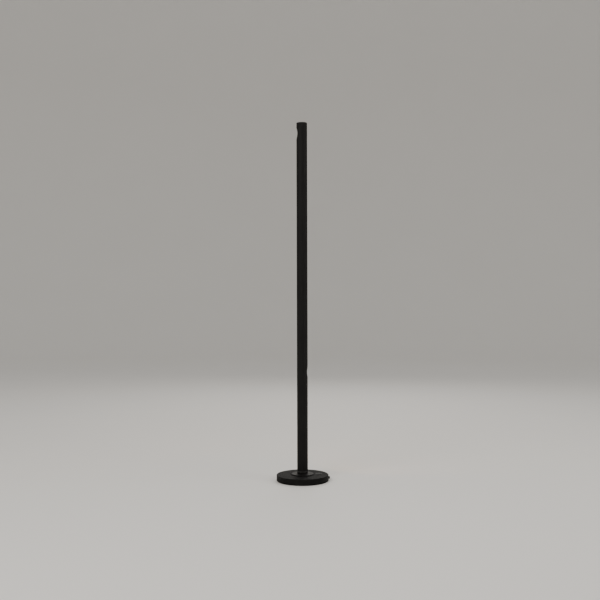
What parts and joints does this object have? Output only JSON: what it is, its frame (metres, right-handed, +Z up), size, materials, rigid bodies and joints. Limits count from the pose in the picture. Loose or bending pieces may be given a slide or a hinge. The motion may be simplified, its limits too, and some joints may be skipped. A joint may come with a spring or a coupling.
{
  "type": "outdoor floor lamp",
  "caption": "Slim round black column on a heavy disc base, with scooped-out spot lights that swivel to wash the wall behind, and a foot switch.",
  "frame": {"origin": "centre of the round foot's rest face, on the floor, under the column's axis", "axes": "+Z up the column; -Y is the side that the lamp is looked at from, +Y straight back to the wall, where the middle light faces; +X to the right of someone looking at it, where the foot switch and the cable gland are"},
  "size_m": [0.2245, 0.218, 1.5],
  "materials": {
    "black_coat": "matt black powder coat with a fine texture",
    "black_satin": "black anodised aluminium, satin",
    "rubber": "matt black rubber",
    "zinc_plate": "zinc-plated sheet steel",
    "steel": "stainless steel",
    "bare_aluminium": "turned aluminium",
    "pale_plastic": "pale grey moulded plastic",
    "black_plastic": "black moulded plastic",
    "slide_ring": "black acetal slide ring",
    "wire": "black wire sheath",
    "led_board": "white coated LED board with a warm chip",
    "clear_lens": "clear moulded lens",
    "front_glass": "clear flat front glass"
  },
  "bodies": {
    "base": {"base_plate": "black_coat", "base_pad": "rubber", "bottom_cover": "zinc_plate", "cover_screws": "steel", "column_flange": "black_coat", "flange_gasket": "rubber", "flange_screws": "steel", "led_driver": "pale_plastic", "terminal_block": "pale_plastic", "base_wiring": "wire", "switch_bushing": "black_satin", "switch_nut": "zinc_plate", "switch_body": "black_plastic", "button_seal": "rubber", "button_spring": "steel", "gland_body": "black_plastic", "gland_nut": "black_plastic", "gland_seal": "rubber", "foot_washer": "slide_ring", "foot_oring": "rubber"},
    "button": {"foot_button": "black_satin"},
    "lower_section": {"lower_tube": "black_coat", "lower_lamp_holder": "black_satin", "lower_led_board": "led_board", "lower_lens": "clear_lens", "lower_glass": "front_glass", "lower_glass_seal": "rubber", "lower_glass_ring": "black_satin", "lower_tube_screws": "steel", "lower_swivel_screw": "steel", "lower_loom": "wire", "lower_coupler": "bare_aluminium", "lower_washer": "slide_ring", "lower_oring": "rubber"},
    "middle_section": {"middle_tube": "black_coat", "middle_lamp_holder": "black_satin", "middle_led_board": "led_board", "middle_lens": "clear_lens", "middle_glass": "front_glass", "middle_glass_seal": "rubber", "middle_glass_ring": "black_satin", "middle_tube_screws": "steel", "middle_swivel_screw": "steel", "middle_loom": "wire", "middle_coupler": "bare_aluminium", "middle_washer": "slide_ring", "middle_oring": "rubber"},
    "upper_section": {"upper_tube": "black_coat", "upper_lamp_holder": "black_satin", "upper_led_board": "led_board", "upper_lens": "clear_lens", "upper_glass": "front_glass", "upper_glass_seal": "rubber", "upper_glass_ring": "black_satin", "upper_tube_screws": "steel", "upper_swivel_screw": "steel", "upper_loom": "wire", "end_cap": "black_coat", "cap_oring": "rubber"}
  },
  "joints": [
    {"name": "button_press", "type": "slide", "parent": "base", "child": "button", "axis": [0, 0, -1], "range_m": [0, 0.002], "stiffness_N_per_m": 800, "springref_m": -0.003, "deforming": ["button_spring"]},
    {"name": "lower_swivel", "type": "hinge", "parent": "base", "child": "lower_section", "pos_m": [0, 0, 0.04], "axis": [0, 0, 1], "range_deg": [-120, 210]},
    {"name": "middle_swivel", "type": "hinge", "parent": "lower_section", "child": "middle_section", "pos_m": [0, 0, 0.5], "axis": [0, 0, 1], "range_deg": [-210, 120]},
    {"name": "upper_swivel", "type": "hinge", "parent": "middle_section", "child": "upper_section", "pos_m": [0, 0, 1], "axis": [0, 0, 1], "range_deg": [-210, 120]}
  ]
}
